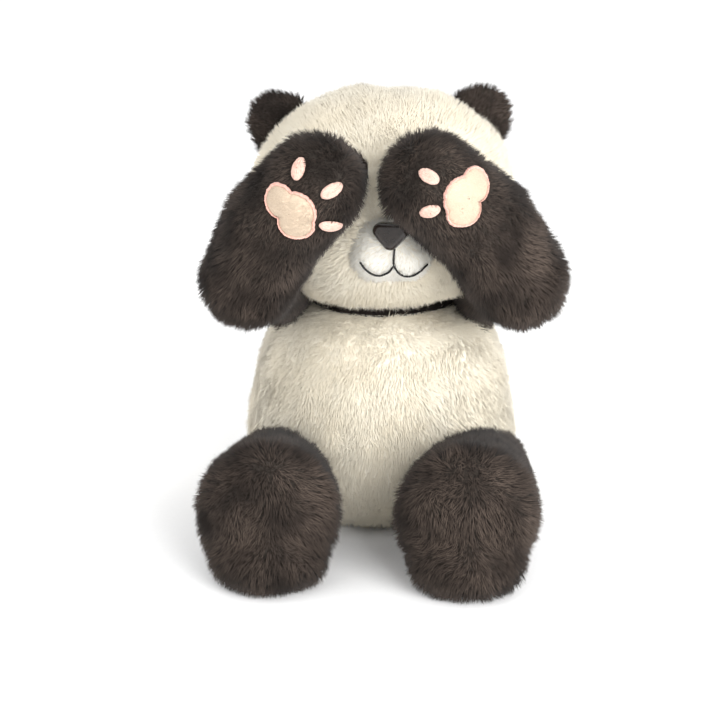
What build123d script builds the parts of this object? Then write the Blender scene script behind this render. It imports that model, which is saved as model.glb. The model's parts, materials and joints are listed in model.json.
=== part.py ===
"""A sitting plush panda that holds its paws over its eyes.

Millimetres, +Z up.  The toy looks along -Y, and +X is its own left.  The origin is on the floor,
in the middle of the flat seat.  The solids follow the backings of the fabrics: the pile, 4 to
8 mm long, stands outside them.  Each body is a stuffed bag, written as a function of how far its
skin is let out (or, below zero, drawn in), so that covers, stuffing and pads share one shape.
Each limb starts in a ball in a dish, so that a sewn joint can turn without its solids meeting.
"""

from build123d import *

from functools import partial
import math
import os

# ---------------------------------------------------------------- driving dimensions
FABRIC = 2.0  # thickness of the backing and the root of its pile
EASE = 0.3  # gap between a cover and its stuffing
JOINT_GAP = 0.8  # gap between a ball and its dish

HEAD_CENTRE = Vector(0, -8, 174)
HEAD_HALF_WIDTH = 66.0
HEAD_RADIUS = 50.0  # the head is round about the left-right line that it nods on
HEAD_SEAM_BACK = 8.0  # the face is sewn to the back of the head this far behind its centre

TORSO_HEIGHT = 112.0
TORSO_SIDE = [(50, 0), (74, 24), (63, TORSO_HEIGHT)]  # before its edges are rounded
TORSO_ROUNDS = (14.0, 26.0, 34.0)
SEAT_SEAM_Z = 6.0
SIDE_SEAM_Y = 6.0
YOKE_SEAM = Plane(origin=(0, 0, 96), z_dir=(0, 0.22, 1))  # lower at the back than in front
NECK_RADIUS = 26.0
NECK_FOOT_Z = 90.0
PELLET_BAG_RADIUS, PELLET_BAG_Z = 20.0, 28.0

MUZZLE_CENTRE, MUZZLE_RADIUS = Vector(3, -45, 156), 23.0
NOSE_WIDTH, NOSE_HEIGHT, NOSE_DEPTH, NOSE_ROUND = 18.0, 13.5, 7.0, 4.0
NOSE_FRAME = Plane(origin=(4, -65.5, 163), x_dir=(1, 0, 0), z_dir=(0, -1, 0.1)).rotated((0, 0, -14))
MOUTH_FRAME = Plane(origin=(5, -66, 149), x_dir=(1, 0, 0), z_dir=(0, -1, 0))
MOUTH_STALK = 5.0  # from the fork up to the nose
MOUTH_HALF_WIDTH, MOUTH_DEPTH, MOUTH_RISE = 15.0, 5.0, 1.5  # of the two smiling arcs
THREAD_WIDTH = 1.6

EYE_BALL, EYE_SINK = 7.0, 3.4  # radius of the eye's ball, and how deep its centre lies
EYE_X, EYE_LIFT = 23.0, 14.0  # from the middle, and degrees above the head's centre
PATCH_RADII = (14.0, 10.5)
PATCH_SLANT = 55.0  # degrees that the long way of an eye patch rises towards the nose
MAGNET_RADIUS, MAGNET_THICK = 6.0, 2.5
FACE_MAGNET_X, FACE_MAGNET_LIFT = 37.0, 2.0
SHANK_RADIUS, SHANK_LENGTH = 1.8, 10.0
WASHER_RADIUS, WASHER_THICK = 5.5, 1.4
DISC_SETBACK = 2.4  # from the inside of the fabric to a washer or magnet

EAR_RADIUS, EAR_HALF_THICK = 16.0, 4.2
EAR_BACK = 8.0  # behind the head's centre
EAR_GAP = 3.0  # between the foot of an ear and the head, so that the ear can fold

SHOULDER_RADIUS, ELBOW_RADIUS, PAW_RADIUS = 17.0, 20.0, 21.0

HIP_RADIUS, SOLE_RADIUS = 23.0, 34.0
SOLE_BULGE, SOLE_BALL = 9.0, 75.0  # how far the sole stands out, and the radius of its curve
SOLE_SEAM_BACK = 8.0  # from the middle of the foot back to the sole's seam

# Degrees that each limb can turn, and the places on the way where its dish is cut to let it by.
LEG_LIFTS = (0, 10, 20)
ARM_SWINGS = (0, 13, 26, 39)
ELBOW_BENDS = (0, 30, 60)
LIMB_GAP = 1.2  # in these dishes, which are cut in steps
DISH_STEP = 0.07  # that much wider at each step, so that no two cuts share a face

PAD_LIFT, PAD_THICK, STITCH_THICK, BORDER_WIDTH = 0.1, 1.0, 1.4, 2.2
PAD_REACH = 16.0  # how far a flat outline is pushed to meet the round skin
HEART_SIZE = 25.0
TOE_RADII = (3.6, 2.7)
TOE_DISTANCE, TOE_FAN = 17.4, 42.0
PALM_TURN = 24.0  # degrees that the palm is turned level from the slope of the arm
PAD_FROM_PAW = -6.0  # along the arm

# The two sides were posed a little apart.  The sign is that of X: +1 for the toy's left.
SIDES = {
    "left": dict(
        sign=1,
        shoulder=Vector(48, -16, 92), elbow=Vector(67, -68, 143), paw=Vector(22, -88, 192),
        hip=Vector(46, -42, 26), sole=Vector(40, -130, 36),
        palm=Vector(0.2, -1, 0.25), ear_x=47.0, ear_lean=42.0,
    ),
    "right": dict(
        sign=-1,
        shoulder=Vector(-48, -16, 92), elbow=Vector(-67, -68, 143), paw=Vector(-34, -88, 191),
        hip=Vector(-46, -42, 26), sole=Vector(-57, -126, 36),
        palm=Vector(-0.1, -1, 0.25), ear_x=-50.0, ear_lean=-50.0,
    ),
}


# ---------------------------------------------------------------- helpers
def cover(bag):
    """The fabric of a bag."""
    return bag(0) - bag(-FABRIC)


def filling(bag):
    """The stuffing of a bag."""
    return bag(-FABRIC - EASE)


def ahead(shape, plane):
    return split(shape, bisect_by=plane, keep=Keep.TOP)


def behind(shape, plane):
    return split(shape, bisect_by=plane, keep=Keep.BOTTOM)


def without(shape, tools):
    """The shape with one tool after another cut out of it."""
    for tool in tools:
        shape -= tool
    return shape


def ball(centre, radius):
    return Pos(*centre) * Sphere(radius)


def capsule(start, end, start_radius, end_radius, seam=Vector(0, 1, 0)):
    """Two balls and the cone that touches both, turned in one from the seam's side."""
    length = (end - start).length
    lean = math.asin((start_radius - end_radius) / length)
    outline = []
    for centre, radius, pole in ((0, start_radius, -1), (length, end_radius, 1)):
        touch = (radius * math.cos(lean), 0, centre + radius * math.sin(lean))
        turn = (lean + pole * math.pi / 2) / 2
        middle = (radius * math.cos(turn), 0, centre + radius * math.sin(turn))
        outline.append((touch, ThreePointArc((0, 0, centre + pole * radius), middle, touch)))
    (low, low_arc), (high, high_arc) = outline
    axis = Line((0, 0, -start_radius), (0, 0, length + end_radius))
    turned = revolve(make_face([low_arc, Line(low, high), high_arc, axis]), Axis.Z)
    return Plane(origin=start, x_dir=seam, z_dir=end - start).location * turned


def column(radius, low, high):
    return Pos(0, 0, (low + high) / 2) * Cylinder(radius, high - low)


def applique(outline, frame, bag, thick):
    """A flat outline in the frame's XY plane, laid along its Z onto a bag's fabric."""
    prism = frame.location * extrude(outline, amount=PAD_REACH, both=True)
    return (prism & bag(PAD_LIFT + thick)) - bag(PAD_LIFT)


def shank(frame):
    """The stem behind a nose or an eye."""
    return frame.location * Pos(0, 0, -SHANK_LENGTH / 2) * Cylinder(SHANK_RADIUS, SHANK_LENGTH)


def disc(frame, radius, thick):
    """A round disc inside the bag whose skin the frame stands on."""
    depth = FABRIC + DISC_SETBACK + thick / 2
    return frame.location * Pos(0, 0, -depth) * Cylinder(radius, thick)


def save(**nodes):
    for name, shape in nodes.items():
        export_step(shape, os.path.join("parts", name + ".step"))


# ---------------------------------------------------------------- the bag of each body
def head_bag(grow):
    """The head: two balls side by side and the tube between them."""
    side_step = Vector(HEAD_HALF_WIDTH - HEAD_RADIUS, 0, 0)
    radius = HEAD_RADIUS + grow
    return capsule(HEAD_CENTRE - side_step, HEAD_CENTRE + side_step, radius, radius)


def torso_bag(grow):
    """The torso: a flat seat, a belly that swells from it, and round shoulders."""
    (seat, _), (hip, hip_height), (shoulder, _) = TORSO_SIDE
    side = FilletPolyline(
        (0, 0, -grow),
        (0, seat + grow * 0.4, -grow),
        (0, hip + grow, hip_height - grow * 0.1),
        (0, shoulder + grow, TORSO_HEIGHT + grow),
        (0, 0, TORSO_HEIGHT + grow),
        radius=[rounding + grow for rounding in TORSO_ROUNDS],
        close=False,
    )
    axis = Line((0, 0, -grow), (0, 0, TORSO_HEIGHT + grow))
    return revolve(make_face([side, axis]), Axis.Z)


def muzzle_bag(grow):
    return ball(MUZZLE_CENTRE, MUZZLE_RADIUS + grow)


def upper_arm_bag(side, grow, swing=0.0):
    """From the shoulder to the elbow.  The arm swings forward and down about its shoulder."""
    upper_arm = (side["elbow"] - side["shoulder"]).rotate(Axis.X, swing)
    radii = SHOULDER_RADIUS + grow, ELBOW_RADIUS - 0.5 + grow
    return capsule(side["shoulder"], side["shoulder"] + upper_arm, *radii)


def forearm_bag(side, grow, bend=0.0):
    """From the elbow to the paw.  The paw swings out from the face about an upright line."""
    lower_arm = (side["paw"] - side["elbow"]).rotate(Axis.Z, side["sign"] * bend)
    radii = ELBOW_RADIUS + grow, PAW_RADIUS + grow
    return capsule(side["elbow"], side["elbow"] + lower_arm, *radii)


def leg_bag(side, grow, lift=0.0):
    """The leg, ending in a sole with a gentler curve.  It can be lifted about its hip."""
    hip = side["hip"]
    leg_line = (side["sole"] - hip).rotate(Axis.X, -lift)
    sole = hip + leg_line
    under = Vector(0, 0, -1)
    tube = capsule(hip, sole, HIP_RADIUS + grow, SOLE_RADIUS + grow, seam=under)
    centre = sole + leg_line.normalized() * (SOLE_BULGE - SOLE_BALL)
    return tube & ball(centre, SOLE_BALL + grow)


def ear_frame(side):
    """At the foot of the ear: Z out of the head and Y backwards."""
    lean = math.radians(side["ear_lean"])
    out = Vector(math.sin(lean), 0, math.cos(lean))
    above = Vector(side["ear_x"], EAR_BACK, 0)
    ray = Line(HEAD_CENTRE + above, HEAD_CENTRE + above + Vector(0, 0, 2 * HEAD_RADIUS))
    skin = (ray & head_bag(0)).vertices().sort_by(Axis.Z)[-1]
    foot = Vector(*skin) + out * EAR_GAP
    return Plane(origin=foot, x_dir=Vector(0, 1, 0).cross(out), z_dir=out)


def ear_bag(frame, grow):
    """The upper half of a lens."""
    curve = (EAR_RADIUS**2 + EAR_HALF_THICK**2) / (2 * EAR_HALF_THICK)
    set_off = curve - EAR_HALF_THICK
    lens = ball((0, set_off, 0), curve + grow) & ball((0, -set_off, 0), curve + grow)
    return frame.location * ahead(lens, Plane.XY.offset(-grow))


def dishes(bag, side, turns):
    """The room that a limb needs at each of its turns."""
    return [bag(side, LIMB_GAP + step * DISH_STEP, turn) for step, turn in enumerate(turns)]


# ---------------------------------------------------------------- torso
def torso():
    """Cream belly and back, a dark yoke over the shoulders, a flat seat, and what fills them."""
    room = [column(NECK_RADIUS + JOINT_GAP, NECK_FOOT_Z - JOINT_GAP, HEAD_CENTRE.Z)]
    for side in SIDES.values():
        room += dishes(upper_arm_bag, side, ARM_SWINGS) + dishes(leg_bag, side, LEG_LIFTS)

    seat_seam = Plane.XY.offset(SEAT_SEAM_Z)
    side_seam = Plane(origin=(0, SIDE_SEAM_Y, 0), z_dir=(0, -1, 0))
    fabric = without(cover(torso_bag), room)
    sides = behind(ahead(fabric, seat_seam), YOKE_SEAM)
    pellets = ball((0, 0, PELLET_BAG_Z), PELLET_BAG_RADIUS)
    pocket = ball((0, 0, PELLET_BAG_Z), PELLET_BAG_RADIUS + EASE)
    save(
        seat_panel=behind(fabric, seat_seam),
        shoulder_yoke=ahead(fabric, YOKE_SEAM),
        belly_cover=ahead(sides, side_seam),
        back_cover=behind(sides, side_seam),
        body_stuffing=without(filling(torso_bag), [*room, pocket]),
        pellet_bag=pellets,
    )


def neck():
    """A round plug that turns in the torso and cradles the head."""
    def plug(grow):
        return column(NECK_RADIUS + grow, NECK_FOOT_Z, HEAD_CENTRE.Z) - head_bag(JOINT_GAP)

    save(neck_cover=cover(plug), neck_stuffing=filling(plug))


# ---------------------------------------------------------------- head
def face_frame(across, lift):
    """A frame on the head's skin, that far from the middle and lifted by an angle: Z outwards."""
    angle = math.radians(lift)
    spoke = Vector(0, -math.cos(angle), math.sin(angle))
    start = HEAD_CENTRE + Vector(across, 0, 0)
    skin = (Line(start, start + spoke * 2 * HEAD_RADIUS) & head_bag(0)).vertices()
    place = max((Vector(*point) for point in skin), key=lambda spot: (spot - start).length)
    outward = place - HEAD_CENTRE - Vector(across / 2, 0, 0)
    return Plane(origin=place, x_dir=Vector(0, 0, 1).cross(outward), z_dir=outward)


def nose():
    """A moulded nose, a rounded triangle with its point down, on a stem."""
    half = NOSE_WIDTH / 2 - NOSE_ROUND
    rise = NOSE_HEIGHT / 2 - NOSE_ROUND
    triangle = make_face(Polyline((-half, rise), (half, rise), (0, -rise), close=True))
    body = extrude(offset(triangle, amount=NOSE_ROUND), amount=NOSE_DEPTH)
    front = body.faces().sort_by(Axis.Z)[-1]
    body = fillet(front.edges(), radius=NOSE_DEPTH * 0.35)
    return NOSE_FRAME.location * body + shank(NOSE_FRAME)


def mouth():
    """The thread of the mouth: a stalk under the nose and two arcs that smile."""
    strokes = [Line((0, 0), (0, MOUTH_STALK))]
    for sign in (-1, 1):
        half = sign * MOUTH_HALF_WIDTH
        strokes.append(ThreePointArc((0, 0), (half / 2, -MOUTH_DEPTH), (half, MOUTH_RISE)))
    outline = trace(strokes, line_width=THREAD_WIDTH)
    return applique(outline, MOUTH_FRAME, muzzle_bag, PAD_THICK)


def eye(frame):
    """A domed eye on a stem."""
    dome = ahead(ball((0, 0, -EYE_SINK), EYE_BALL), Plane.XY)
    return frame.location * dome + shank(frame)


def head():
    """The face with its muzzle, the back of the head, and what is sewn and locked to them."""
    seam = Plane(origin=HEAD_CENTRE + Vector(0, HEAD_SEAM_BACK, 0), z_dir=(0, -1, 0))
    fabric = cover(head_bag)
    snout = nose()
    nose_washer = disc(NOSE_FRAME, WASHER_RADIUS, WASHER_THICK) - snout
    face = ahead(fabric, seam) - muzzle_bag(0)
    stuffing = without(filling(head_bag) + filling(muzzle_bag), [snout, nose_washer])

    for name, side in SIDES.items():
        eye_frame = face_frame(side["sign"] * EYE_X, EYE_LIFT)
        button = eye(eye_frame)
        washer = disc(eye_frame, WASHER_RADIUS, WASHER_THICK) - button
        oval = Rot(0, 0, -side["sign"] * PATCH_SLANT) * Ellipse(*PATCH_RADII)
        magnet_frame = face_frame(side["sign"] * FACE_MAGNET_X, FACE_MAGNET_LIFT)
        magnet = disc(magnet_frame, MAGNET_RADIUS, MAGNET_THICK)
        face -= button
        stuffing = without(stuffing, [button, washer, magnet])
        save(**{
            "eye_" + name: button,
            "eye_washer_" + name: washer,
            "eye_patch_" + name: applique(oval, eye_frame, head_bag, PAD_THICK) - button,
            "face_magnet_" + name: magnet,
        })
    save(
        face_cover=face,
        head_back_cover=behind(fabric, seam),
        muzzle_panel=cover(muzzle_bag) - head_bag(0) - snout,
        head_stuffing=stuffing,
        nose=snout,
        nose_washer=nose_washer,
        mouth_embroidery=mouth(),
    )


def ear(name, side):
    """A front and a back panel with a little wadding between them."""
    frame = ear_frame(side)
    middle = Plane(origin=frame.origin, z_dir=-frame.y_dir)
    bag = partial(ear_bag, frame)
    fabric = cover(bag)
    save(**{
        "ear_front_" + name: ahead(fabric, middle),
        "ear_back_" + name: behind(fabric, middle),
        "ear_wadding_" + name: filling(bag),
    })


# ---------------------------------------------------------------- limbs
def upper_arm(name, side):
    """A sleeve and its stuffing, hollowed at the elbow for the forearm's ball."""
    bag = partial(upper_arm_bag, side)
    room = dishes(forearm_bag, side, ELBOW_BENDS)
    save(**{
        "upper_arm_cover_" + name: without(cover(bag), room),
        "upper_arm_stuffing_" + name: without(filling(bag), room),
    })


def palm_frame(side):
    """In the middle of the paw, Z out of the palm and X towards the toes."""
    along = (side["paw"] - side["elbow"]).normalized()
    palm_out = side["palm"] - along * side["palm"].dot(along)
    return Plane(origin=side["paw"], x_dir=along, z_dir=palm_out)


def heart(size):
    """A blunt heart of that width: two round lobes, and a round tip towards +X."""
    lobe = size * 0.27
    lobes = [Pos(-lobe * 0.5, flip * (size / 2 - lobe)) * Circle(lobe) for flip in (1, -1)]
    tip = Pos(lobe * 0.45, 0) * Circle(size * 0.36)
    return Sketch() + [tip, *lobes]


def paw_pads(side, bag):
    """The heart-shaped pad, its stitched border, and three stitched toes."""
    frame = palm_frame(side)
    place = side["paw"] + frame.x_dir * PAD_FROM_PAW + frame.z_dir * PAW_RADIUS
    palm = Plane(origin=place, x_dir=frame.x_dir, z_dir=frame.z_dir)
    palm = palm.rotated((0, 0, side["sign"] * PALM_TURN))

    pad = heart(HEART_SIZE - BORDER_WIDTH)
    opening = palm.location * extrude(pad, amount=PAD_REACH, both=True)
    toes = [
        Rot(0, 0, turn) * Pos(TOE_DISTANCE, 0) * Ellipse(*TOE_RADII)
        for turn in (-TOE_FAN, 0, TOE_FAN)
    ]
    return dict(
        main_pad=applique(pad, palm, bag, PAD_THICK),
        pad_border=applique(heart(HEART_SIZE + BORDER_WIDTH), palm, bag, STITCH_THICK) - opening,
        toe_pads=Compound([applique(toe, palm, bag, STITCH_THICK) for toe in toes]),
    )


def forearm(name, side):
    """The mitten: back and palm, the pads sewn on the palm, stuffing, and a magnet in the paw."""
    bag = partial(forearm_bag, side)
    palm_out = palm_frame(side).z_dir
    middle = Plane(origin=side["elbow"], z_dir=palm_out)
    back_skin = Plane(origin=side["paw"] - palm_out * PAW_RADIUS, z_dir=-palm_out)
    magnet = disc(back_skin, MAGNET_RADIUS, MAGNET_THICK)
    fabric = cover(bag)
    nodes = dict(
        forearm_cover=behind(fabric, middle),
        palm_panel=ahead(fabric, middle),
        forearm_stuffing=filling(bag) - magnet,
        paw_magnet=magnet,
        **paw_pads(side, bag),
    )
    save(**{kind + "_" + name: shape for kind, shape in nodes.items()})


def leg(name, side):
    """The tube of the leg, the sole sewn into its end, and the stuffing."""
    bag = partial(leg_bag, side)
    along = side["sole"] - side["hip"]
    seam = Plane(origin=side["sole"] - along.normalized() * SOLE_SEAM_BACK, z_dir=along)
    fabric = cover(bag)
    save(**{
        "leg_cover_" + name: behind(fabric, seam),
        "sole_panel_" + name: ahead(fabric, seam),
        "leg_stuffing_" + name: filling(bag),
    })


def main():
    os.makedirs("parts", exist_ok=True)
    torso()
    neck()
    head()
    for name, side in SIDES.items():
        ear(name, side)
        upper_arm(name, side)
        forearm(name, side)
        leg(name, side)


main()
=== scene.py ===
"""The looks of a sitting plush panda that holds its paws over its eyes.

Metres, +Z up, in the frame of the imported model.  Each body gets a smooth skin and a coat of pile on
it: thin spikes that lean along the lay of the fabric and gather into tufts.
"""

import json
import math

import bmesh
import bpy
import numpy as np
from mathutils import Euler, Matrix, Quaternion, Vector
from mathutils.bvhtree import BVHTree
from mathutils.kdtree import KDTree


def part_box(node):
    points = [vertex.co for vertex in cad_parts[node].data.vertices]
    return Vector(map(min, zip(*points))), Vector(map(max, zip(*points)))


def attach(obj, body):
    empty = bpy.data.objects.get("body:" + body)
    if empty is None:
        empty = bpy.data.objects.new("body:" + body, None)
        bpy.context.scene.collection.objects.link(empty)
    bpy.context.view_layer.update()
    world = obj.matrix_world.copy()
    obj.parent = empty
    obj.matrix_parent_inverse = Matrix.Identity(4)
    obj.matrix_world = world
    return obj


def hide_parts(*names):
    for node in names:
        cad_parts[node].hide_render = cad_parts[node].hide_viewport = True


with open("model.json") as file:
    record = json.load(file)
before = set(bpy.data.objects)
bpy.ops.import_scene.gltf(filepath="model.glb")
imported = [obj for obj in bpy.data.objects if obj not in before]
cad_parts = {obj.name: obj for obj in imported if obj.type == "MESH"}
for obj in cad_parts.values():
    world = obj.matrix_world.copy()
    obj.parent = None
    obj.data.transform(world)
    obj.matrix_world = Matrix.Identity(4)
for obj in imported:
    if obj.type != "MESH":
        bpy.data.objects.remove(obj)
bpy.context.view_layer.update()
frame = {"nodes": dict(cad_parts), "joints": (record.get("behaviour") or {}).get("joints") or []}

# ---------------------------------------------------------------- driving dimensions
MM = 0.001
CM2_PER_M2 = 1e4
SIGNS = {"left": 1, "right": -1}
PIVOTS = {joint["name"]: Vector(joint["pos_m"]) for joint in frame["joints"]}
AXES = {joint["name"]: Vector(joint["axis"]) for joint in frame["joints"]}
HEAD_CENTRE = PIVOTS["head_nod"]
PAW_RADIUS = 21 * MM

# Each kind of pile: length, spikes per square centimetre, width at the root, degrees of lean from
# upright, how far the tips gather into tufts, and how far the lay wanders.
LONG_PILE = dict(length=6.2 * MM, per_cm2=165, width=0.55 * MM, lean=50, tuft=0.4, swirl=0.5)
CREAM_PILE = dict(length=5.6 * MM, per_cm2=130, width=0.7 * MM, lean=56, tuft=0.2, swirl=0.35)
EAR_PILE = dict(length=4.6 * MM, per_cm2=170, width=0.5 * MM, lean=50, tuft=0.35, swirl=0.4)
PATCH_PILE = dict(length=4.2 * MM, per_cm2=330, width=0.6 * MM, lean=58, tuft=0.25, swirl=0.3)
SHORT_PILE = dict(length=3.4 * MM, per_cm2=300, width=0.5 * MM, lean=52, tuft=0.3, swirl=0.4)
MINKY_PILE = dict(length=1.1 * MM, per_cm2=450, width=0.5 * MM, lean=60, tuft=0.1, swirl=0.3)
SPIKES_PER_TUFT = 9
TUFT_PULL, TIGHTEST_TUFT = (0.3, 1.4), 0.95  # how far each spike follows its tuft
SWIRL_SIZE, LEAN_SIZE, LENGTH_SIZE = 26 * MM, 14 * MM, 12 * MM  # how wide the pile's own waves are
LEAN_SPREAD = 9  # degrees
LENGTHS, WIDTHS, LENGTH_SWING = (0.72, 1.12), (0.7, 1.2), 0.1  # as shares of the pile's own
STRAY, TWIST = 0.25, 0.22  # how far each spike strays from the lay, and turns about its length
SHADING_LEAN = 0.25  # how far a spike's shading turns from the skin's to its own way
FLOOR_CLEARANCE = 0.3 * MM

# The head.  Growths are the fabric form against its box in the frame.
HEAD_GROWTH = (1.03, 1.02, 1.06)
JOWL_SHIFT, JOWL_GROWTH = Vector((0, -14, -22)) * MM, (1.01, 0.75, 0.72)
HEAD_RIPPLE, HEAD_RIPPLE_SIZE = 0.006, 50 * MM
EYE_CLEARING = 6.5 * MM
EYE_TRIM, SHORTEST_BY_EYE = 16 * MM, 0.35  # the pile is cut short that near the eyes
PATCH_RADII, PATCH_SLANT = (18 * MM, 13.5 * MM), 55
MUZZLE_RADII = (22.5 * MM, 19 * MM)  # across and up
LIP_SHIFT, LIP_RADIUS = Vector((8, 0, -4)) * MM, 14.5 * MM
MUZZLE_CLEARING = 20 * MM
FORK_HEIGHT = 5.5 * MM  # above the lowest point of the mouth
# Each stroke of the mouth, across and up from its fork, in millimetres.
MOUTH_STROKES = (
    ((-0.3, 3), (0, 0)),
    ((0, 0), (-3.2, -3.6), (-8.5, -5), (-13.5, -2), (-16, 1.5)),
    ((0, 0), (3.2, -4), (6.5, -5.4), (10.5, -4.4), (15.5, -0.5)),
)
THREAD_RADIUS, THREAD_TWIST, THREAD_PROUD = 0.52 * MM, 1.4 * MM, 1.9 * MM
EAR_HALF_WIDTH, EAR_THICKNESS, EAR_HEIGHT = 12 * MM, 3.6 * MM, 11 * MM

# The body.
TORSO_SIDE = [(0, 0), (44, 0), (58, 3), (68, 14), (72.5, 30), (72, 46), (68.5, 66), (64, 84),
              (56, 100), (44, 110), (28, 115), (0, 117)]  # half-width and height, in millimetres
BELLY_PROUD, BELLY_HEIGHT, BELLY_SPREAD = 2.5 * MM, 42 * MM, 34 * MM
SEAT_EDGE = 1.5 * MM  # no pile below this, where the panda sits on it
YOKE_SLOPE, YOKE_HEIGHT = 0.26, 108 * MM  # the dark yoke starts there, lower at the back
COLLAR_HEIGHT = 112.5 * MM  # all is dark above this, which shows as a line under the chin
NECK_PILE_START = 110 * MM

# The arms.
SHOULDER_RADIUS, ELBOW_RADIUS = 10 * MM, 17 * MM
FOREARM_RADII = (22.5 * MM, 24 * MM, 23 * MM)  # at the elbow, half-way and at the paw
# A heart-shaped pad is three rounds, (centre, radius): the upper lobe, the lower lobe and the tip.
HEART_ROUNDS = (((-3.0, 6.0), 7.0), ((0.0, -5.4), 7.2), ((2.6, 0.3), 8.2))
PAD_EDGE, PAD_CROWN = 1.8 * MM, 1.6 * MM  # how proud a pad stands at its edge, and more in the middle
BORDER_WIDTH = 1.5 * MM
BORDER_OVERHANG = BORDER_WIDTH * 0.6
BORDER_START, BORDER_STITCHES = 0.87, 90  # a share of the pad's reach, and how many go round it
BORDER_EDGE, BORDER_CROWN, BORDER_RIDGE = 1.6 * MM, 1.5 * MM, 0.14
TOE_RADII = (4.1 * MM, 3.0 * MM)
TOE_EDGE, TOE_CROWN, TOE_RIDGE = 1.4 * MM, 2.0 * MM, 0.22 * MM
TOE_STITCHES_PER_MM = 1.3
TOE_CLEARING = 1.02  # the long pile keeps that many toe radii off
# Each hand's pad: degrees that its heart is turned on, its shift, and its toes (millimetres, degrees).
PADS = {
    "left": dict(turn=30, shift=Vector((1.5, 0, 4)) * MM, toes=((16.7, 31), (19.6, -18))),
    "right": dict(turn=-39, shift=Vector((0.7, 0, 2.1)) * MM, toes=((17.0, -46), (19.7, 11), (19.0, 63))),
}
PAD_TRIM, SHORTEST_BY_PAD = 34 * MM, 0.62  # the pile is cut short that near the pads

# The legs.
HIP_RADIUS, HIP_HEIGHT = 22 * MM, 24.5 * MM
SOLE_RADII = (33.5 * MM, 17 * MM, 35 * MM)
HEEL_RADII = (28 * MM, 19 * MM, 19 * MM)
SOLE_SPREAD, LEG_LAY = 0.4, (0, 12 * MM, -20 * MM)  # the pile fans out from the sole, back and down

# The studio.
CAMERA_PLACE, CAMERA_PITCH, CAMERA_LENS = (-0.012, -0.766, 0.335), 71.3, 72.5
LIGHT_AIM = (0, -0.04, 0.12)
KEY_PLACE, KEY_SIZE, KEY_POWER = (0.55, -1.0, 0.5), 0.7, 15.0
FILL_PLACE, FILL_SIZE, FILL_POWER = (-0.8, -0.6, 0.6), 0.9, 2.5
SKY_STRENGTH = 1.1
FLOOR_HALF = 8


# ---------------------------------------------------------------- places in the frame
def box_of(*nodes):
    """The lowest and highest corners of some CAD nodes together."""
    lows, highs = zip(*(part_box(node) for node in nodes))
    return Vector(np.min(lows, axis=0)), Vector(np.max(highs, axis=0))


def middle(*nodes):
    """The middle of the box round some CAD nodes."""
    low, high = box_of(*nodes)
    return (low + high) / 2


def paw_centre(name):
    """The middle of the ball at the end of a forearm."""
    low, high = box_of("forearm_cover_" + name, "palm_panel_" + name)
    inner = low.x if name == "left" else high.x
    return Vector((inner + SIGNS[name] * PAW_RADIUS, low.y + PAW_RADIUS, high.z - PAW_RADIUS))


def ear_out(name):
    """The way an ear points out of the head."""
    axis = AXES["ear_fold_" + name]
    return Vector((-axis.z, 0, axis.x))


# ---------------------------------------------------------------- materials
def material(name, roughness=0.8, sheen=0.0, specular=0.3):
    """A new principled material, its node tree and its shader."""
    made = bpy.data.materials.new(name)
    made.use_nodes = True
    tree = made.node_tree
    shader = tree.nodes["Principled BSDF"]
    shader.inputs["Roughness"].default_value = roughness
    shader.inputs["Sheen Weight"].default_value = sheen
    shader.inputs["Sheen Roughness"].default_value = 0.5
    shader.inputs["Specular IOR Level"].default_value = specular
    return made, tree, shader


def noise(tree, scale, detail=3.0):
    """Object-space noise, as a socket."""
    place = tree.nodes.new("ShaderNodeTexCoord")
    texture = tree.nodes.new("ShaderNodeTexNoise")
    texture.inputs["Scale"].default_value = scale
    texture.inputs["Detail"].default_value = detail
    tree.links.new(place.outputs["Object"], texture.inputs["Vector"])
    return texture.outputs["Fac"]


def mixed(tree, factor, first, second):
    """Two colours, or colour sockets, mixed by a socket."""
    mix = tree.nodes.new("ShaderNodeMix")
    mix.data_type = "RGBA"
    tree.links.new(factor, mix.inputs["Factor"])
    for value, socket in ((first, mix.inputs["A"]), (second, mix.inputs["B"])):
        if isinstance(value, tuple):
            socket.default_value = (*value, 1)
        else:
            tree.links.new(value, socket)
    return mix.outputs["Result"]


def stretched(tree, socket, low, high):
    """The socket's values from low to high, spread from 0 to 1."""
    spread = tree.nodes.new("ShaderNodeMapRange")
    spread.inputs["From Min"].default_value = low
    spread.inputs["From Max"].default_value = high
    tree.links.new(socket, spread.inputs["Value"])
    return spread.outputs["Result"]


def plush(name, root, body, tip, patchy, sheen=0.2):
    """Pile that is darker at its roots, with spikes and whole patches of slightly other shades."""
    made, tree, shader = material(name, roughness=0.85, sheen=sheen, specular=0.15)
    strand = tree.nodes.new("ShaderNodeUVMap")
    strand.uv_map = "Strand"
    parts = tree.nodes.new("ShaderNodeSeparateXYZ")
    tree.links.new(strand.outputs["UV"], parts.inputs["Vector"])
    patches = stretched(tree, noise(tree, 45.0), 0.35, 0.65)
    spike = mixed(tree, parts.outputs["X"], body, tip)
    shade = mixed(tree, patches, spike, patchy)
    rooted = mixed(tree, stretched(tree, parts.outputs["Y"], 0.0, 0.45), root, shade)
    tree.links.new(rooted, shader.inputs["Base Color"])
    return made


def backing(name, dark, light):
    """The knitted backing under the pile."""
    made, tree, shader = material(name, roughness=0.95, sheen=0.1, specular=0.1)
    colour = mixed(tree, stretched(tree, noise(tree, 400.0), 0.3, 0.7), dark, light)
    tree.links.new(colour, shader.inputs["Base Color"])
    return made


def thread(name, dark, light, sheen=0.3):
    """Embroidery thread with a silky gloss."""
    made, tree, shader = material(name, roughness=0.5, sheen=sheen, specular=0.3)
    colour = mixed(tree, stretched(tree, noise(tree, 900.0), 0.3, 0.7), dark, light)
    tree.links.new(colour, shader.inputs["Base Color"])
    return made


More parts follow.
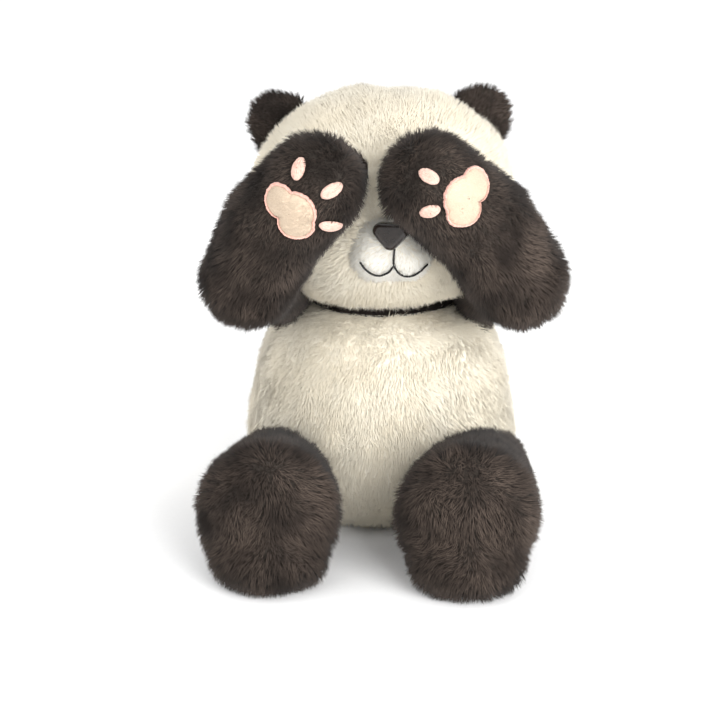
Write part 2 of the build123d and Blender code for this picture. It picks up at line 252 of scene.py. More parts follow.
def moulded(name, dark, light, roughness, bump, grain):
    """Moulded plastic with a pebbled or a smooth skin."""
    made, tree, shader = material(name, roughness=roughness, specular=0.5)
    colour = mixed(tree, stretched(tree, noise(tree, 300.0), 0.3, 0.7), dark, light)
    tree.links.new(colour, shader.inputs["Base Color"])
    if bump:
        relief = tree.nodes.new("ShaderNodeBump")
        relief.inputs["Strength"].default_value = bump
        relief.inputs["Distance"].default_value = 0.4 * MM
        tree.links.new(noise(tree, grain, detail=1.0), relief.inputs["Height"])
        tree.links.new(relief.outputs["Normal"], shader.inputs["Normal"])
    return made


def magnet_steel():
    """Bright nickel plate."""
    made = moulded("magnet_steel", (0.45, 0.45, 0.47), (0.6, 0.6, 0.62), 0.35, 0, 0)
    made.node_tree.nodes["Principled BSDF"].inputs["Metallic"].default_value = 1.0
    return made


DARK_PLUSH = plush("dark_plush", (0.011, 0.008, 0.0065), (0.042, 0.031, 0.025), (0.11, 0.083, 0.067),
                   (0.024, 0.018, 0.015), sheen=0.05)
CREAM_PLUSH = plush("cream_plush", (0.8, 0.72, 0.57), (0.86, 0.79, 0.64), (0.9, 0.84, 0.7),
                    (0.84, 0.76, 0.6))
MUZZLE_PLUSH = plush("muzzle_plush", (0.92, 0.88, 0.78), (0.97, 0.94, 0.86), (0.99, 0.97, 0.92),
                     (0.96, 0.93, 0.84))
PAD_PLUSH = plush("pad_plush", (0.56, 0.44, 0.33), (0.62, 0.5, 0.38), (0.68, 0.56, 0.43),
                  (0.59, 0.47, 0.35))
DARK_BACKING = backing("dark_backing", (0.02, 0.016, 0.013), (0.04, 0.033, 0.028))
CREAM_BACKING = backing("cream_backing", (0.86, 0.79, 0.65), (0.93, 0.87, 0.74))
PAD_BACKING = backing("pad_backing", (0.56, 0.44, 0.33), (0.6, 0.48, 0.36))
PINK_THREAD = thread("pink_thread", (0.62, 0.31, 0.25), (0.76, 0.45, 0.37))
TOE_THREAD = thread("toe_thread", (0.58, 0.35, 0.28), (0.72, 0.48, 0.4))
BLACK_THREAD = thread("black_thread", (0.004, 0.004, 0.004), (0.014, 0.012, 0.012), sheen=0.0)
NOSE_PLASTIC = moulded("nose_plastic", (0.016, 0.011, 0.009), (0.028, 0.02, 0.016), 0.2, 0.2, 1300.0)
EYE_PLASTIC = moulded("eye_plastic", (0.004, 0.004, 0.004), (0.008, 0.007, 0.007), 0.08, 0, 0)
WASHER_PLASTIC = moulded("washer_plastic", (0.75, 0.75, 0.72), (0.85, 0.85, 0.82), 0.5, 0, 0)
MAGNET_STEEL = magnet_steel()


# ---------------------------------------------------------------- skins
def new_object(name, mesh, finish):
    """An object in the scene with one material."""
    mesh.name = name
    mesh.materials.clear()
    mesh.materials.append(finish)
    made = bpy.data.objects.new(name, mesh)
    bpy.context.scene.collection.objects.link(made)
    return made


def chain(start, end, start_radii, end_radii, count=9):
    """Ellipsoids from one place to another, each (centre, radii)."""
    steps = np.linspace(0, 1, count)
    return [(start.lerp(end, t), Vector(start_radii).lerp(Vector(end_radii), t)) for t in steps]


def skin_of(name, blobs, finish, voxel=2.4 * MM, smoothing=10, turn=Euler()):
    """One smooth closed skin round some ellipsoids."""
    shell = bmesh.new()
    for centre, radii in blobs:
        place = Matrix.LocRotScale(centre, turn, radii)
        bmesh.ops.create_icosphere(shell, subdivisions=4, radius=1, matrix=place)
    mesh = bpy.data.meshes.new(name)
    shell.to_mesh(mesh)
    shell.free()
    made = new_object(name, mesh, finish)
    fuse = made.modifiers.new("fuse", "REMESH")
    fuse.mode = "VOXEL"
    fuse.voxel_size = voxel
    ease = made.modifiers.new("ease", "SMOOTH")
    ease.factor = 0.5
    ease.iterations = smoothing
    return settled(made)


def settled(made):
    """The object with its modifiers applied and smooth shading."""
    bpy.context.view_layer.update()
    evaluated = made.evaluated_get(bpy.context.evaluated_depsgraph_get())
    mesh = bpy.data.meshes.new_from_object(evaluated)
    made.modifiers.clear()
    made.data = mesh
    mesh.shade_smooth()
    return made


def grid_object(name, points, finish):
    """A skin through a grid of points: rows of closed rings."""
    rows, steps = points.shape[:2]
    index = np.arange(rows * steps).reshape(rows, steps)
    after = np.roll(index, -1, axis=1)
    faces = np.stack([index[:-1], after[:-1], after[1:], index[1:]], axis=-1).reshape(-1, 4)
    mesh = bpy.data.meshes.new(name)
    mesh.from_pydata(points.reshape(-1, 3).tolist(), [], faces.tolist())
    mesh.shade_smooth()
    return new_object(name, mesh, finish)


def moved(made, shift):
    """The skin with its points shifted by shift(points), an array for an array."""
    points = np.empty(len(made.data.vertices) * 3)
    made.data.vertices.foreach_get("co", points)
    points = points.reshape(-1, 3)
    points += shift(points)
    made.data.vertices.foreach_set("co", points.ravel())
    made.data.update()
    return made


def on_floor(points):
    """Lifts what lies below the floor onto it."""
    lift = np.zeros_like(points)
    lift[:, 2] = np.maximum(FLOOR_CLEARANCE - points[:, 2], 0)
    return lift


# ---------------------------------------------------------------- pile
def waves(points, size, seed):
    """Smooth made-up noise at some points, about -1 to 1, with bumps of that size."""
    rng = np.random.default_rng(seed)
    total = np.zeros(len(points))
    for _ in range(6):
        way = rng.normal(size=3)
        way *= rng.uniform(0.6, 1.6) / np.linalg.norm(way)
        total += np.sin(points @ way * (2 * math.pi / size) + rng.uniform(0, 2 * math.pi))
    return total / 2.5  # six waves seldom add up to more


def unit(vectors):
    """Each row at length 1."""
    return vectors / np.maximum(np.linalg.norm(vectors, axis=1, keepdims=True), 1e-9)


def scattered(skin, per_cm2, rng):
    """Random places on a skin and its normals there."""
    mesh = skin.data
    mesh.calc_loop_triangles()
    corners = np.empty(len(mesh.loop_triangles) * 3, dtype=np.int32)
    mesh.loop_triangles.foreach_get("vertices", corners)
    corners = corners.reshape(-1, 3)
    places = np.empty(len(mesh.vertices) * 3)
    mesh.vertices.foreach_get("co", places)
    places = places.reshape(-1, 3)[corners]
    normals = np.empty(len(mesh.vertices) * 3)
    mesh.vertex_normals.foreach_get("vector", normals)
    normals = normals.reshape(-1, 3)[corners]

    sides = places[:, 1:] - places[:, :1]
    areas = np.linalg.norm(np.cross(sides[:, 0], sides[:, 1]), axis=1) / 2
    count = int(areas.sum() * CM2_PER_M2 * per_cm2)
    chosen = rng.choice(len(areas), count, p=areas / areas.sum())
    share = rng.dirichlet((1, 1, 1), count)[:, :, None]
    return (places[chosen] * share).sum(axis=1), unit((normals[chosen] * share).sum(axis=1))


def tufted(roots, tips, pull, rng):
    """The tips, drawn part of the way towards the tip of the nearest tuft."""
    leaders = rng.choice(len(roots), max(len(roots) // SPIKES_PER_TUFT, 1), replace=False)
    tree = KDTree(len(leaders))
    for place, leader in enumerate(leaders):
        tree.insert(roots[leader], place)
    tree.balance()
    nearest = leaders[[tree.find(root)[1] for root in roots]]
    strength = (pull * rng.uniform(*TUFT_PULL, len(roots)))[:, None]
    return tips + (tips[nearest] - tips) * np.minimum(strength, TIGHTEST_TUFT)


def darken_backing(skin, where):
    """The backing is dark below dark pile."""
    skin.data.materials.append(DARK_BACKING)
    faces = skin.data.polygons
    for face, dark in zip(faces, where(np.array([face.center for face in faces]))):
        face.material_index = int(dark)


def coat(name, skin, pile, lay, finish, body, where=None, shorten=None, seed=1):
    """A coat of pile on a skin.  lay is a way, or a function from roots to ways."""
    rng = np.random.default_rng(seed)
    roots, normals = scattered(skin, pile["per_cm2"], rng)
    if where is not None:
        inside = where(roots)
        roots, normals = roots[inside], normals[inside]
    count = len(roots)
    ways = lay(roots) if callable(lay) else np.tile(np.array(lay, float), (count, 1))
    swirl = np.stack([waves(roots, SWIRL_SIZE, seed + shift) for shift in (11, 12, 13)], axis=1)
    along = unit(unit(ways) + pile["swirl"] * swirl + rng.normal(scale=STRAY, size=(count, 3)))
    along = unit(along - normals * (along * normals).sum(axis=1, keepdims=True))

    lean = pile["lean"] + rng.normal(scale=LEAN_SPREAD, size=count)
    lean = np.radians(lean + LEAN_SPREAD * waves(roots, LEAN_SIZE, seed + 21))
    lengths = pile["length"] * rng.uniform(*LENGTHS, count)
    lengths = lengths * (1 + LENGTH_SWING * waves(roots, LENGTH_SIZE, seed + 31))
    if shorten is not None:
        lengths *= shorten(roots)
    ways = normals * np.cos(lean)[:, None] + along * np.sin(lean)[:, None]
    tips = tufted(roots, roots + ways * lengths[:, None], pile["tuft"], rng)
    tips[:, 2] = np.maximum(tips[:, 2], FLOOR_CLEARANCE)

    across = unit(np.cross(normals, along) + rng.normal(scale=TWIST, size=(count, 3)))
    front = unit(np.cross(tips - roots, across))
    half = (pile["width"] / 2 * rng.uniform(*WIDTHS, count))[:, None]
    corners = np.stack([roots + across * half, roots - across * half, roots - front * half, tips], axis=1)
    return spikes(name, corners, unit(normals + ways * SHADING_LEAN), finish, body, rng)


def spikes(name, corners, shading, finish, body, rng):
    """A mesh of spikes, each with three corners at its root and a tip.

    All three sides face outwards and are shaded as the skin below them, so no view finds a dark back.
    """
    count = len(corners)
    sides = np.array([(0, 1, 3), (1, 2, 3), (2, 0, 3)])
    loops = (np.arange(count)[:, None, None] * 4 + sides).ravel()
    mesh = bpy.data.meshes.new(name)
    mesh.vertices.add(count * 4)
    mesh.vertices.foreach_set("co", corners.ravel())
    mesh.loops.add(len(loops))
    mesh.loops.foreach_set("vertex_index", loops.astype(np.int32))
    mesh.polygons.add(count * 3)
    mesh.polygons.foreach_set("loop_start", np.arange(0, len(loops), 3, dtype=np.int32))
    mesh.update(calc_edges=True)

    tint = np.repeat(rng.uniform(0, 1, count), 9)
    height = np.tile(np.array([0, 0, 1] * 3), count)
    mesh.uv_layers.new(name="Strand").data.foreach_set("uv", np.stack([tint, height], axis=1).ravel())
    row = math.ceil(math.sqrt(count))
    cell = np.stack([np.arange(count) % row, np.arange(count) // row], axis=1)
    spots = [(0.1 + 0.28 * side + shift, up) for side in range(3)
             for shift, up in ((0, 0.15), (0.24, 0.15), (0.12, 0.85))]
    sheet = (cell[:, None] + np.array(spots)[None]) / row
    mesh.uv_layers.new(name="OFBake").data.foreach_set("uv", sheet.ravel())
    mesh.shade_smooth()
    mesh.normals_split_custom_set_from_vertices(np.repeat(shading, 4, axis=0))
    made = new_object(name, mesh, finish)
    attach(made, body)
    return made


# ---------------------------------------------------------------- head
def head_lay(roots):
    """Away from the nose, as the face is brushed."""
    return unit(roots - np.array(middle("nose"))) + np.array((0, 0.3, 0))


def eye_middle(name):
    """The middle of an eye, as an array."""
    return np.array(middle("eye_" + name))


def from_eyes(roots):
    """How far each root is from the nearer eye."""
    return np.min([np.linalg.norm(roots - eye_middle(name), axis=1) for name in SIGNS], axis=0)


def in_patch(roots):
    """Whether each root is in the dark oval round an eye."""
    inside = np.zeros(len(roots), bool)
    for name, sign in SIGNS.items():
        slant = math.radians(PATCH_SLANT)
        offset = roots - eye_middle(name)
        along = offset[:, 0] * -sign * math.cos(slant) + offset[:, 2] * math.sin(slant)
        across = offset[:, 0] * sign * math.sin(slant) + offset[:, 2] * math.cos(slant)
        near = (along / PATCH_RADII[0]) ** 2 + (across / PATCH_RADII[1]) ** 2 < 1
        inside |= near & (roots[:, 1] < HEAD_CENTRE.y)
    return inside


def build_head():
    """A round head with full cheeks, and a dark patch of pile round each eye."""
    low, high = box_of("face_cover", "head_back_cover")
    half = (high - low) / 2
    centre = (low + high) / 2
    blobs = [(centre, half * Vector(HEAD_GROWTH)),
             (centre + JOWL_SHIFT, half * Vector(JOWL_GROWTH))]
    skin = skin_of("head_skin", blobs, CREAM_BACKING)
    moved(skin, lambda places: places * (waves(places, HEAD_RIPPLE_SIZE, 2) * HEAD_RIPPLE)[:, None])
    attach(skin, "head")
    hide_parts("face_cover", "head_back_cover", "head_stuffing")

    behind_muzzle = np.array(middle("muzzle_panel") + Vector((0, 8 * MM, 0)))

    def clear_of_muzzle(roots):
        return np.linalg.norm(roots - behind_muzzle, axis=1) > MUZZLE_CLEARING

    def trimmed(roots):
        return np.clip(from_eyes(roots) / EYE_TRIM, SHORTEST_BY_EYE, 1)

    pelt = coat("head_pile", skin, CREAM_PILE, head_lay, CREAM_PLUSH, "head", shorten=trimmed,
                where=lambda roots: ~in_patch(roots) & clear_of_muzzle(roots), seed=3)
    darken_backing(skin, in_patch)
    patches = coat("eye_patch_pile", skin, PATCH_PILE, head_lay, DARK_PLUSH, "head", shorten=trimmed,
                   where=lambda roots: in_patch(roots) & (from_eyes(roots) > EYE_CLEARING), seed=4)
    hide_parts("eye_patch_left", "eye_patch_right")


def build_muzzle():
    """A rounded muzzle with two full lips, whiter and shorter in the pile than the face."""
    low, high = box_of("muzzle_panel")
    centre = Vector(((low.x + high.x) / 2, high.y - 8 * MM, (low.z + high.z) / 2 + 1 * MM))
    depth = centre.y - low.y
    blobs = [(centre, (MUZZLE_RADII[0], depth - 0.5 * MM, MUZZLE_RADII[1]))]
    for sign in (-1, 1):
        lip = centre + LIP_SHIFT * Vector((sign, 1, 1))
        blobs.append((lip, (LIP_RADIUS, depth, LIP_RADIUS)))
    skin = skin_of("muzzle_skin", blobs, CREAM_BACKING, voxel=1.6 * MM)
    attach(skin, "head")
    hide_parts("muzzle_panel")
    centre_y = centre.y
    pelt = coat("muzzle_pile", skin, SHORT_PILE, lambda roots: roots - np.array(middle("nose")),
                MUZZLE_PLUSH, "head", where=lambda roots: roots[:, 1] < centre_y - 2 * MM, seed=5)
    return skin


def curve_through(points, per_span=10):
    """A smooth line of points through a few, by the Catmull-Rom rule."""
    points = np.array(points, float)
    padded = np.vstack([2 * points[0] - points[1], points, 2 * points[-1] - points[-2]])
    line = []
    for a, b, c, d in zip(padded, padded[1:], padded[2:], padded[3:]):
        for t in np.linspace(0, 1, per_span, endpoint=False):
            line.append(0.5 * (2 * b + (c - a) * t + (2 * a - 5 * b + 4 * c - d) * t**2
                               + (3 * b - a - 3 * c + d) * t**3))
    return np.array([*line, points[-1]])


def build_mouth(muzzle):
    """Black thread, twisted, from the nose down to the fork and out along two smiling arcs."""
    tree = BVHTree.FromObject(muzzle, bpy.context.evaluated_depsgraph_get())
    low, high = box_of("mouth_embroidery")
    nose_low = box_of("nose")[0]
    fork = Vector(((low.x + high.x) / 2, low.y - 20 * MM, low.z + FORK_HEIGHT))
    below_nose = (0, (nose_low.z - fork.z) / MM + 1.5)
    rows = []
    for stroke in ((below_nose, *MOUTH_STROKES[0]), *MOUTH_STROKES[1:]):
        centres = []
        for x, z in curve_through(stroke, per_span=14):
            start = fork + Vector((x, 0, z)) * MM
            hit, normal, _, _ = tree.ray_cast(start, Vector((0, 1, 0)))
            centres.append(hit + normal * THREAD_PROUD)
        rows.append(np.array(centres))
    pieces = []
    for number, centres in enumerate(rows):
        ways = unit(np.gradient(centres, axis=0))
        level = np.tile((0.0, 1.0, 0.0), (len(centres), 1))
        side = unit(np.cross(ways, level))
        front = np.cross(side, ways)
        travel = np.cumsum(np.r_[0, np.linalg.norm(np.diff(centres, axis=0), axis=1)])
        turns = np.linspace(0, 2 * math.pi, 10, endpoint=False)
        taper = np.minimum(1, np.minimum(travel, travel[-1] - travel) / (1.2 * MM) + 0.45)
        ridges = 1 + 0.16 * np.sin(2 * turns[None] + travel[:, None] * (2 * math.pi / THREAD_TWIST))
        radius = THREAD_RADIUS * taper[:, None] * ridges
        ring = side[:, None] * np.cos(turns)[:, None] + front[:, None] * np.sin(turns)[:, None]
        points = centres[:, None] + ring * radius[..., None]
        pieces.append(grid_object(f"mouth_thread_{number}", points, BLACK_THREAD))
    for piece in pieces:
        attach(piece, "head")
    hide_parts("mouth_embroidery")


# ---------------------------------------------------------------- ears
def build_ear(name):
    """A round cupped ear of dark plush."""
    body = "ear_" + name
    foot = PIVOTS["ear_fold_" + name]
    out = ear_out(name)
    across = AXES["ear_fold_" + name]
    turn = Matrix((across, Vector((0, 1, 0)), out)).transposed().to_euler()
    blobs = []
    root = foot + Vector((SIGNS[name], 3, -5.5)) * MM
    for share in np.linspace(-1, 1, 11):
        reach = math.sqrt(1 - (share * 0.9) ** 2)
        centre = root + across * share * EAR_HALF_WIDTH + out * (6.5 * MM * reach - 1 * MM)
        centre += Vector((0, 2 * MM * (1 - share**2), 0))
        blobs.append((centre, (5 * MM, EAR_THICKNESS, EAR_HEIGHT * reach + 2 * MM)))
    skin = skin_of("ear_skin_" + name, blobs, DARK_BACKING, voxel=1.4 * MM, smoothing=6, turn=turn)
    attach(skin, body)
    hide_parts(*(kind + name for kind in ("ear_front_", "ear_back_", "ear_wadding_")))
    pelt = coat("ear_pile_" + name, skin, EAR_PILE, out + Vector((0, -0.2, 0)), DARK_PLUSH, body,
                seed=20 + SIGNS[name])


# ---------------------------------------------------------------- torso
def build_torso():
    """A revolved side with a fuller belly in front."""
    side = curve_through(TORSO_SIDE, per_span=4) * MM
    side[:, 1] = np.maximum(side[:, 1], FLOOR_CLEARANCE)
    turns = np.linspace(0, 2 * math.pi, 72, endpoint=False)
    points = np.zeros((len(side), len(turns), 3))
    points[..., 0] = side[:, :1] * np.sin(turns)
    points[..., 1] = -side[:, :1] * np.cos(turns)
    points[..., 2] = side[:, 1:]
    skin = grid_object("torso_skin", points, CREAM_BACKING)

    def belly(places):
        front = np.maximum(-places[:, 1] / (70 * MM), 0) ** 2
        level = np.exp(-(((places[:, 2] - BELLY_HEIGHT) / BELLY_SPREAD) ** 2))
        shift = np.zeros_like(places)
        shift[:, 1] = -BELLY_PROUD * front * level
        return shift

    moved(skin, belly)
    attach(skin, "torso")
    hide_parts("seat_panel", "shoulder_yoke", "belly_cover", "back_cover", "body_stuffing",
                "pellet_bag")

    def in_yoke(roots):
        return roots[:, 2] > np.minimum(YOKE_HEIGHT - YOKE_SLOPE * roots[:, 1], COLLAR_HEIGHT)

    def in_pelt(roots):
        return (roots[:, 2] > SEAT_EDGE) & ~in_yoke(roots)

    def down(roots):
        return np.stack([roots[:, 0] * 4, roots[:, 1] * 4, np.full(len(roots), -1.0)], axis=1)

    pelt = coat("torso_pile", skin, CREAM_PILE, down, CREAM_PLUSH, "torso", where=in_pelt, seed=7)
    darken_backing(skin, in_yoke)
    yoke = coat("yoke_pile", skin, LONG_PILE, down, DARK_PLUSH, "torso", where=in_yoke, seed=8)


def build_neck():
    """The dark gusset between the shoulders and the head."""
    low, high = box_of("neck_cover")
    half = (high - low) / 2
    bottom = Vector((0, 0, low.z + 8 * MM))
    top = Vector((0, 0, high.z - 14 * MM))
    blobs = chain(bottom, top, (half.x, half.y, 9 * MM), (half.x - 2 * MM, half.y - 2 * MM, 8 * MM), 5)
    skin = skin_of("neck_skin", blobs, DARK_BACKING)
    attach(skin, "neck")
    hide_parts("neck_cover", "neck_stuffing")
    pelt = coat("neck_pile", skin, EAR_PILE, (0, 0, -1), DARK_PLUSH, "neck",
                where=lambda roots: roots[:, 2] > NECK_PILE_START, seed=9)


# ---------------------------------------------------------------- arms
def round_blobs(start, end, start_radius, end_radius, count=9):
    """Balls from one place to another."""
    return chain(start, end, (start_radius,) * 3, (end_radius,) * 3, count)


def build_upper_arm(name):
    """A short upper arm that starts inside the body, so that it stays joined as it swings."""
    body = "upper_arm_" + name
    shoulder, elbow = PIVOTS["arm_swing_" + name], PIVOTS["elbow_bend_" + name]
    inside = shoulder + Vector((-SIGNS[name] * 2, 10, 0)) * MM
    root = shoulder + Vector((SIGNS[name] * 2, 4, 22)) * MM  # it leaves the body high, under the cheek
    blobs = round_blobs(inside, root, SHOULDER_RADIUS, SHOULDER_RADIUS, 4)
    blobs += round_blobs(root, elbow, SHOULDER_RADIUS, ELBOW_RADIUS)
    skin = skin_of("upper_arm_skin_" + name, blobs, DARK_BACKING)
    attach(skin, body)
    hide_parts("upper_arm_cover_" + name, "upper_arm_stuffing_" + name)
    pelt = coat("upper_arm_pile_" + name, skin, LONG_PILE, shoulder - elbow, DARK_PLUSH, body,
                seed=30 + SIGNS[name])


def palm(name):
    """A frame on the palm: its middle, the way to the toes, the way across and the way out."""
    elbow, paw = PIVOTS["elbow_bend_" + name], paw_centre(name)
    arm = (paw - elbow).normalized()
    centre = middle("pad_border_" + name)
    out = centre - elbow
    out = (out - arm * out.dot(arm)).normalized()
    toes = middle("toe_pads_" + name) - centre
    toes = (toes - out * toes.dot(out)).normalized()
    toes.rotate(Quaternion(out, math.radians(PADS[name]["turn"])))
    return centre + PADS[name]["shift"], toes, out.cross(toes), out


def heart_reach(angles, name, grow=0.0):
    """How far a hand's pad, let out a little, reaches at some angles from its middle."""
    reaches = []
    for (x, y), radius in HEART_ROUNDS:
        x, y, radius = x * MM, -SIGNS[name] * y * MM, radius * MM + grow
        along = x * np.cos(angles) + y * np.sin(angles)
        reaches.append(along + np.sqrt(np.maximum(radius**2 - x**2 - y**2 + along**2, 0)))
    return np.max(reaches, axis=0)


def oval_reach(angles, radii):
    """How far an oval reaches at some angles from its middle."""
    return radii[0] * radii[1] / np.hypot(radii[1] * np.cos(angles), radii[0] * np.sin(angles))


def laid_on(name, tree, place, reach, shares, height, finish):
    """A disc or band on a skin, with its rings at some shares of reach(angles).

    height(share, angles, x, y) says how proud of the skin a ring's points stand.
    """
    centre, along, across, out = place
    angles = np.linspace(0, 2 * math.pi, 360, endpoint=False)
    edge = reach(angles)
    rings = []
    for share in shares:
        x, y = edge * share * np.cos(angles), edge * share * np.sin(angles)
        heights = height(share, angles, x, y)
        ring = []
        for step in range(len(angles)):
            start = centre + along * x[step] + across * y[step] + out * 20 * MM
            hit, normal, _, _ = tree.ray_cast(start, -out)
            if hit is None:
                hit, normal, _, _ = tree.find_nearest(start - out * 20 * MM)
            ring.append(hit + normal * heights[step])
        rings.append(ring)
    made = grid_object(name, np.array(rings), finish)
    made.data.flip_normals()
    return made


def build_pads(name, forearm):
    """The heart-shaped pad with its satin border, and the satin toes."""
    body = "forearm_" + name
    tree = BVHTree.FromObject(forearm, bpy.context.evaluated_depsgraph_get())
    place = palm(name)
    centre, along, across, out = place

    def pad_height(share, angles, x, y):
        return np.full(len(angles), PAD_EDGE + PAD_CROWN * math.sqrt(max(1 - share**2, 0)))

    pad = laid_on("pad_" + name, tree, place, lambda a: heart_reach(a, name),
                  (0.02, 0.15, 0.3, 0.45, 0.6, 0.72, 0.82, 0.9, 0.96, 1.0), pad_height, PAD_BACKING)
    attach(pad, body)
    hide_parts("main_pad_" + name)
    pelt = coat("pad_pile_" + name, pad, MINKY_PILE, -along, PAD_PLUSH, body, seed=40 + SIGNS[name])

    shares = np.linspace(BORDER_START, 1, 8)
    rng = np.random.default_rng(50 + SIGNS[name])
    ragged = np.interp(np.arange(360), np.linspace(0, 360, BORDER_STITCHES),
                       rng.uniform(0.985, 1.02, BORDER_STITCHES))

    def border_height(share, angles, x, y):
        arch = math.sin(math.pi * (share - shares[0]) / (1 - shares[0]))
        ridges = 1 + BORDER_RIDGE * np.sin(angles * BORDER_STITCHES)
        return BORDER_EDGE + BORDER_CROWN * arch * ridges

    border = laid_on("pad_border_stitches_" + name, tree, place,
                     lambda a: heart_reach(a, name, BORDER_OVERHANG) * ragged, shares, border_height,
                     PINK_THREAD)
    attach(border, body)
    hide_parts("pad_border_" + name)

    for number, (distance, degrees) in enumerate(PADS[name]["toes"]):
        turn = math.radians(degrees)
        way = along * math.cos(turn) + across * math.sin(turn)
        spot = centre + way * distance * MM
        toe_place = (spot, way, out.cross(way), out)

        def toe_height(share, angles, x, y):
            ridges = TOE_RIDGE * np.sin(y * (2 * math.pi * TOE_STITCHES_PER_MM / MM))
            return TOE_EDGE + TOE_CROWN * math.sqrt(max(1 - share**2, 0)) + ridges * (1 - share**4)

        toe = laid_on(f"toe_{name}_{number}", tree, toe_place, lambda a: oval_reach(a, TOE_RADII),
                      np.linspace(0.03, 1, 12), toe_height, TOE_THREAD)
        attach(toe, body)
        if number == 0:
            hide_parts("toe_pads_" + name)


def off_pads(name):
    """Which roots of the long pile stand clear of the pad and toes."""
    centre, along, across, out = (np.array(part) for part in palm(name))

    def clear(roots):
        offset = roots - centre
        facing = (offset @ out) > -14 * MM
        x, y = offset @ along, offset @ across
        inside = np.hypot(x, y) < heart_reach(np.arctan2(y, x), name, BORDER_OVERHANG)
        for distance, degrees in PADS[name]["toes"]:
            turn = math.radians(degrees)
            dx = x * math.cos(turn) + y * math.sin(turn) - distance * MM
            dy = -x * math.sin(turn) + y * math.cos(turn)
            inside |= (dx / TOE_RADII[0]) ** 2 + (dy / TOE_RADII[1]) ** 2 < TOE_CLEARING**2
        return ~(inside & facing)

    return clear


def near_pads(name):
    """Pile is trimmed a little beside the pad and toes."""
    centre = np.array(palm(name)[0])
    return lambda roots: np.clip(np.linalg.norm(roots - centre, axis=1) / PAD_TRIM, SHORTEST_BY_PAD, 1)


def build_forearm(name):
    """A full forearm from the elbow up to the paw, with the pads on its palm."""
    body = "forearm_" + name
    elbow, paw = PIVOTS["elbow_bend_" + name], paw_centre(name)
    sign = SIGNS[name]
    start = elbow + Vector((sign * 0.5, 0, -2)) * MM
    waist = elbow.lerp(paw, 0.5) + Vector((sign * 2.5, 0, 4)) * MM
    tip = paw + Vector((0, 0, 2)) * MM
    thick, thickest, thin = FOREARM_RADII
    blobs = round_blobs(start, waist, thick, thickest, 6) + round_blobs(waist, tip, thickest, thin, 6)
    skin = skin_of("forearm_skin_" + name, blobs, DARK_BACKING)
    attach(skin, body)
    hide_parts(*(kind + name for kind in ("forearm_cover_", "palm_panel_", "forearm_stuffing_")))
    pelt = coat("forearm_pile_" + name, skin, LONG_PILE, elbow - paw, DARK_PLUSH, body,
                where=off_pads(name), shorten=near_pads(name), seed=60 + sign)
    build_pads(name, skin)


# ---------------------------------------------------------------- legs
def build_leg(name):
    """A thick leg that ends in a tall oval sole, with a full hip."""
    body = "leg_" + name
    sign = SIGNS[name]
    hip = PIVOTS["leg_lift_" + name]
    low, high = box_of("sole_panel_" + name)
    sole = Vector(((low.x + high.x) / 2, low.y + 17 * MM, (low.z + high.z) / 2 + 1.5 * MM))
    hip_ball = Vector((hip.x + sign * 9 * MM, hip.y + 8 * MM, HIP_HEIGHT))
    blobs = chain(hip_ball, sole, (HIP_RADIUS,) * 3, SOLE_RADII, 12)
    heel = Vector((sole.x, low.y + (12 - sign) * MM, 17 * MM))
    blobs.append((heel, HEEL_RADII))
    skin = skin_of("leg_skin_" + name, blobs, DARK_BACKING, smoothing=14)
    moved(skin, on_floor)
    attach(skin, body)
    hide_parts(*(kind + name for kind in ("leg_cover_", "sole_panel_", "leg_stuffing_")))

    middle_of_sole = np.array(sole)

    def lay(roots):
        return (roots - middle_of_sole) * SOLE_SPREAD + np.array(LEG_LAY)

    pelt = coat("leg_pile_" + name, skin, LONG_PILE, lay, DARK_PLUSH, body, seed=70 + sign)


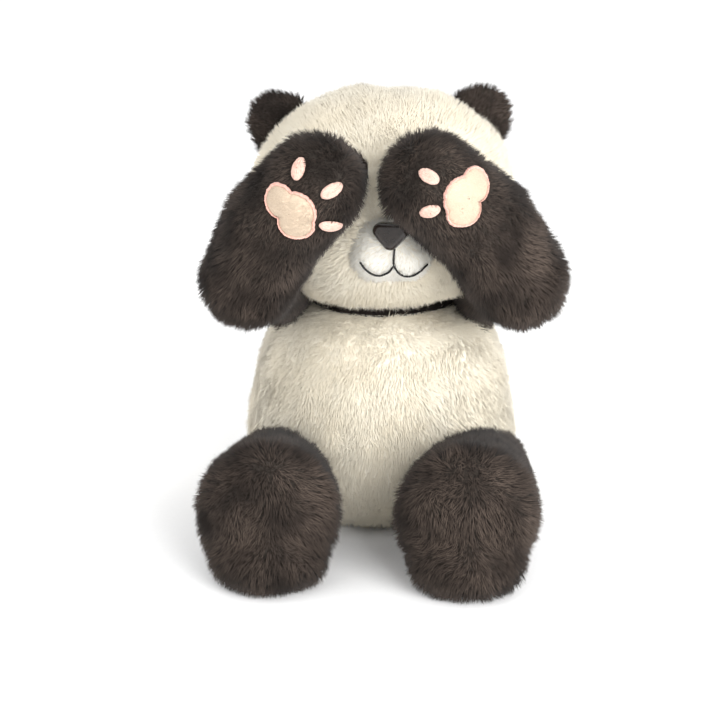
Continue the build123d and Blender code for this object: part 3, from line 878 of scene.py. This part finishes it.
# ---------------------------------------------------------------- hard parts, floor, light, camera
def finish_hard_parts():
    """The carried-over hard nodes get their own materials."""
    finishes = {"nose": NOSE_PLASTIC, "nose_washer": WASHER_PLASTIC}
    for name in SIGNS:
        finishes["eye_" + name] = EYE_PLASTIC
        finishes["eye_washer_" + name] = WASHER_PLASTIC
        finishes["face_magnet_" + name] = MAGNET_STEEL
        finishes["paw_magnet_" + name] = MAGNET_STEEL
    for node, finish in finishes.items():
        for material_slot in frame["nodes"][node].material_slots:
            material_slot.material = finish


def build_floor():
    """A plain pale floor."""
    mesh = bpy.data.meshes.new("floor")
    corners = [(x * FLOOR_HALF, y * FLOOR_HALF, 0) for x, y in ((-1, -1), (1, -1), (1, 1), (-1, 1))]
    mesh.from_pydata(corners, [], [(0, 1, 2, 3)])
    floor = new_object("floor", mesh, backing("floor_paper", (0.95, 0.95, 0.95), (0.97, 0.97, 0.97)))


def area_light(name, place, size, power):
    """A soft square light, aimed at the panda."""
    light = bpy.data.lights.new(name, "AREA")
    light.size = size
    light.energy = power
    holder = bpy.data.objects.new(name, light)
    holder.location = place
    holder.rotation_euler = (Vector(LIGHT_AIM) - Vector(place)).to_track_quat("-Z", "Y").to_euler()
    bpy.context.scene.collection.objects.link(holder)


def build_studio():
    """Soft white light all round, a key and a fill, and the camera before the panda."""
    scene = bpy.context.scene
    world = bpy.data.worlds.new("studio")
    world.use_nodes = True
    sky = world.node_tree.nodes["Background"]
    sky.inputs["Color"].default_value = (1, 1, 1, 1)
    sky.inputs["Strength"].default_value = SKY_STRENGTH
    scene.world = world
    scene.view_settings.view_transform = "Standard"
    area_light("key", KEY_PLACE, KEY_SIZE, KEY_POWER)
    area_light("fill", FILL_PLACE, FILL_SIZE, FILL_POWER)

    lens = bpy.data.cameras.new("camera")
    lens.sensor_width = 36
    lens.lens = CAMERA_LENS
    camera = bpy.data.objects.new("camera", lens)
    camera.location = CAMERA_PLACE
    camera.rotation_euler = (math.radians(CAMERA_PITCH), 0, 0)
    scene.collection.objects.link(camera)
    scene.camera = camera


def main():
    build_head()
    build_mouth(build_muzzle())
    build_torso()
    build_neck()
    for name in SIGNS:
        build_ear(name)
        build_upper_arm(name)
        build_forearm(name)
        build_leg(name)
    finish_hard_parts()
    build_floor()
    build_studio()


main()
